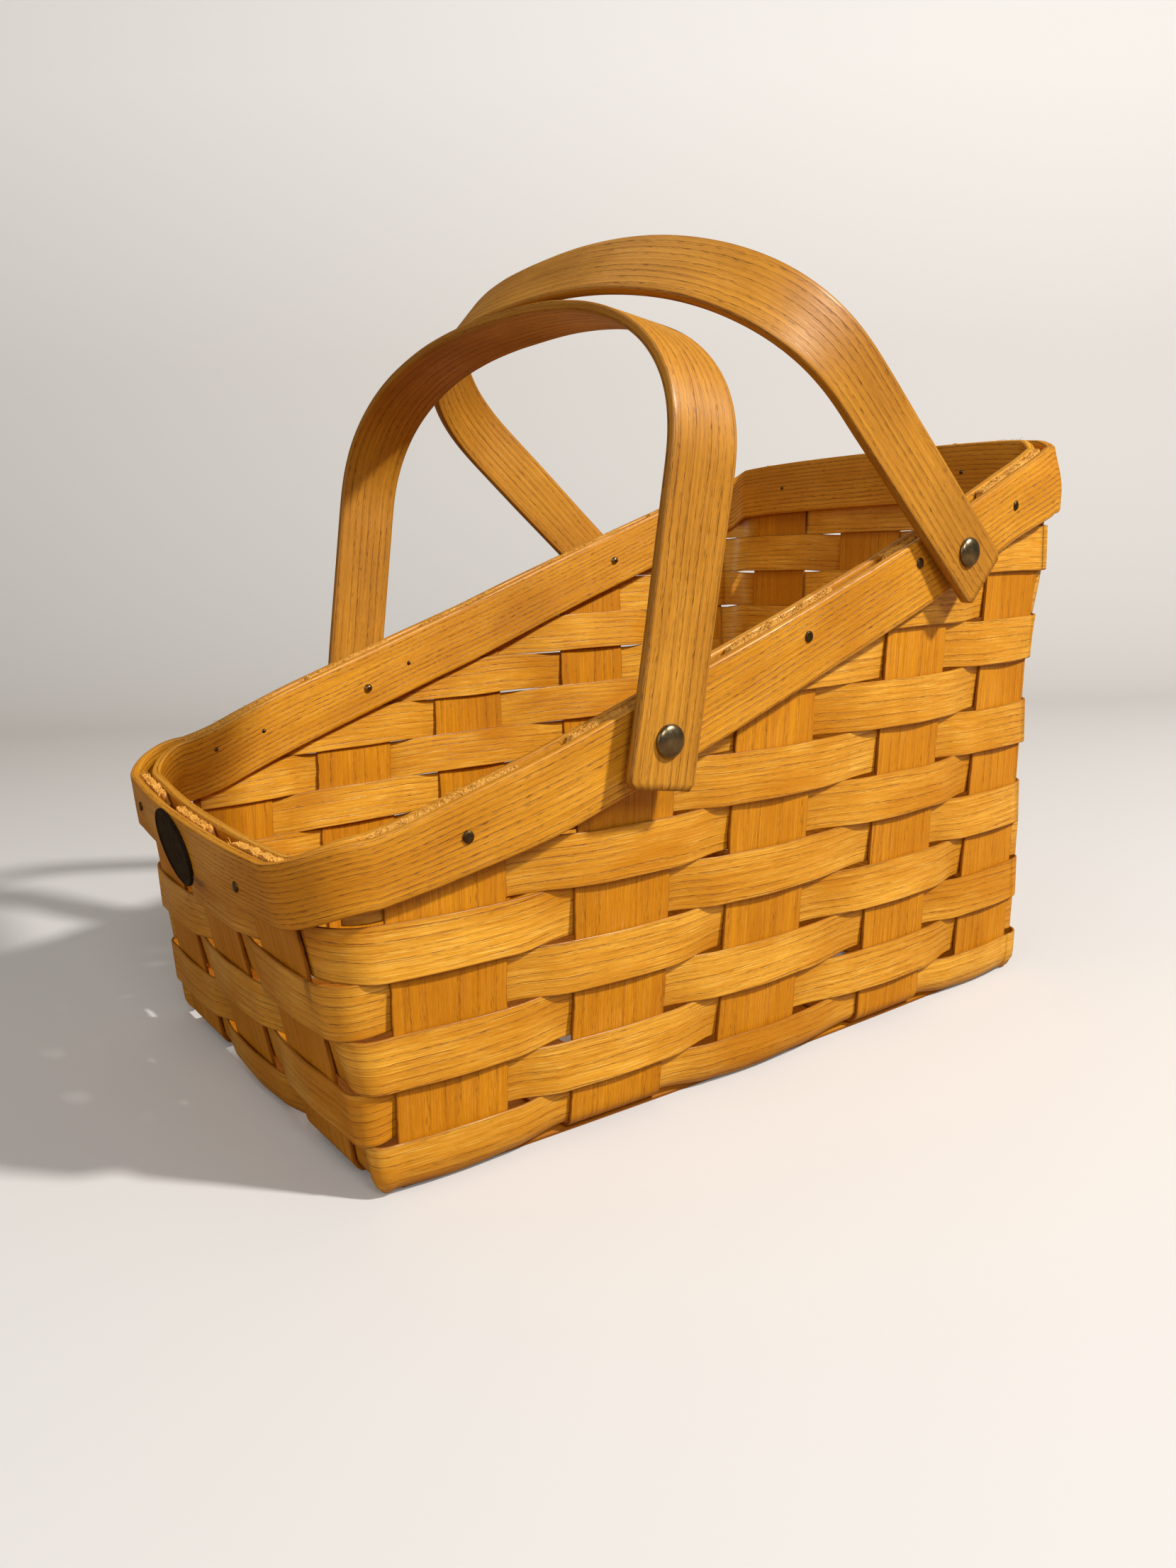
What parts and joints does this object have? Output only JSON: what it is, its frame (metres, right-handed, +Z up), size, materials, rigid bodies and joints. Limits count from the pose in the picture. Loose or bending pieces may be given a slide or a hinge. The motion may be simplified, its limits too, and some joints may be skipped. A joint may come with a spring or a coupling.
{
  "type": "pantry shelf basket",
  "caption": "Woven wooden splint basket with a tall back, sides that slope down to a low front, nailed rim bands and swing carrying handles on rivets.",
  "frame": {"origin": "centre of the bounding box at the base, on the surface that the basket stands on", "axes": "+Z up, -Y towards the low front with the oval plate, +Y towards the tall back, +X towards the side nearest the viewer"},
  "size_m": [0.2474, 0.3611, 0.3053],
  "materials": {
    "splint": "satin",
    "weaver": "satin",
    "rim": "satin",
    "handle": "satin",
    "rivet": "satin",
    "nail": "satin",
    "plate": "satin"
  },
  "bodies": {
    "basket": {"cross_splint_1": "splint", "cross_splint_2": "splint", "cross_splint_3": "splint", "cross_splint_4": "splint", "cross_splint_5": "splint", "long_splint_1": "splint", "long_splint_2": "splint", "long_splint_3": "splint", "edge_splint_near": "splint", "edge_splint_far": "splint", "weaver_row_1": "weaver", "weaver_row_2": "weaver", "weaver_row_3": "weaver", "weaver_row_4": "weaver", "weaver_row_5": "weaver", "weaver_row_6": "weaver", "weaver_row_7": "weaver", "weaver_row_8": "weaver", "weaver_row_9": "weaver", "weaver_row_10": "weaver", "weaver_row_11": "weaver", "weaver_row_12": "weaver", "rim_outer": "rim", "rim_inner": "rim", "rivet_front_near": "rivet", "rivet_front_far": "rivet", "rivet_rear_near": "rivet", "rivet_rear_far": "rivet", "nail_near_1": "nail", "nail_near_2": "nail", "nail_near_3": "nail", "nail_near_4": "nail", "nail_far_1": "nail", "nail_far_2": "nail", "nail_far_3": "nail", "nail_far_4": "nail", "nail_front_1": "nail", "nail_front_2": "nail", "nail_back_1": "nail", "nail_back_2": "nail", "badge_plate": "plate"},
    "front_handle": {"handle_front": "handle"},
    "rear_handle": {"handle_rear": "handle"}
  },
  "joints": [
    {"name": "front_handle_swing", "type": "hinge", "parent": "basket", "child": "front_handle", "pos_m": [0, -0.0585, 0.13364], "axis": [1, 0, 0], "range_deg": [0, 120]},
    {"name": "rear_handle_swing", "type": "hinge", "parent": "basket", "child": "rear_handle", "pos_m": [0, 0.0885, 0.18877], "axis": [1, 0, 0], "range_deg": [-170, 0]}
  ]
}
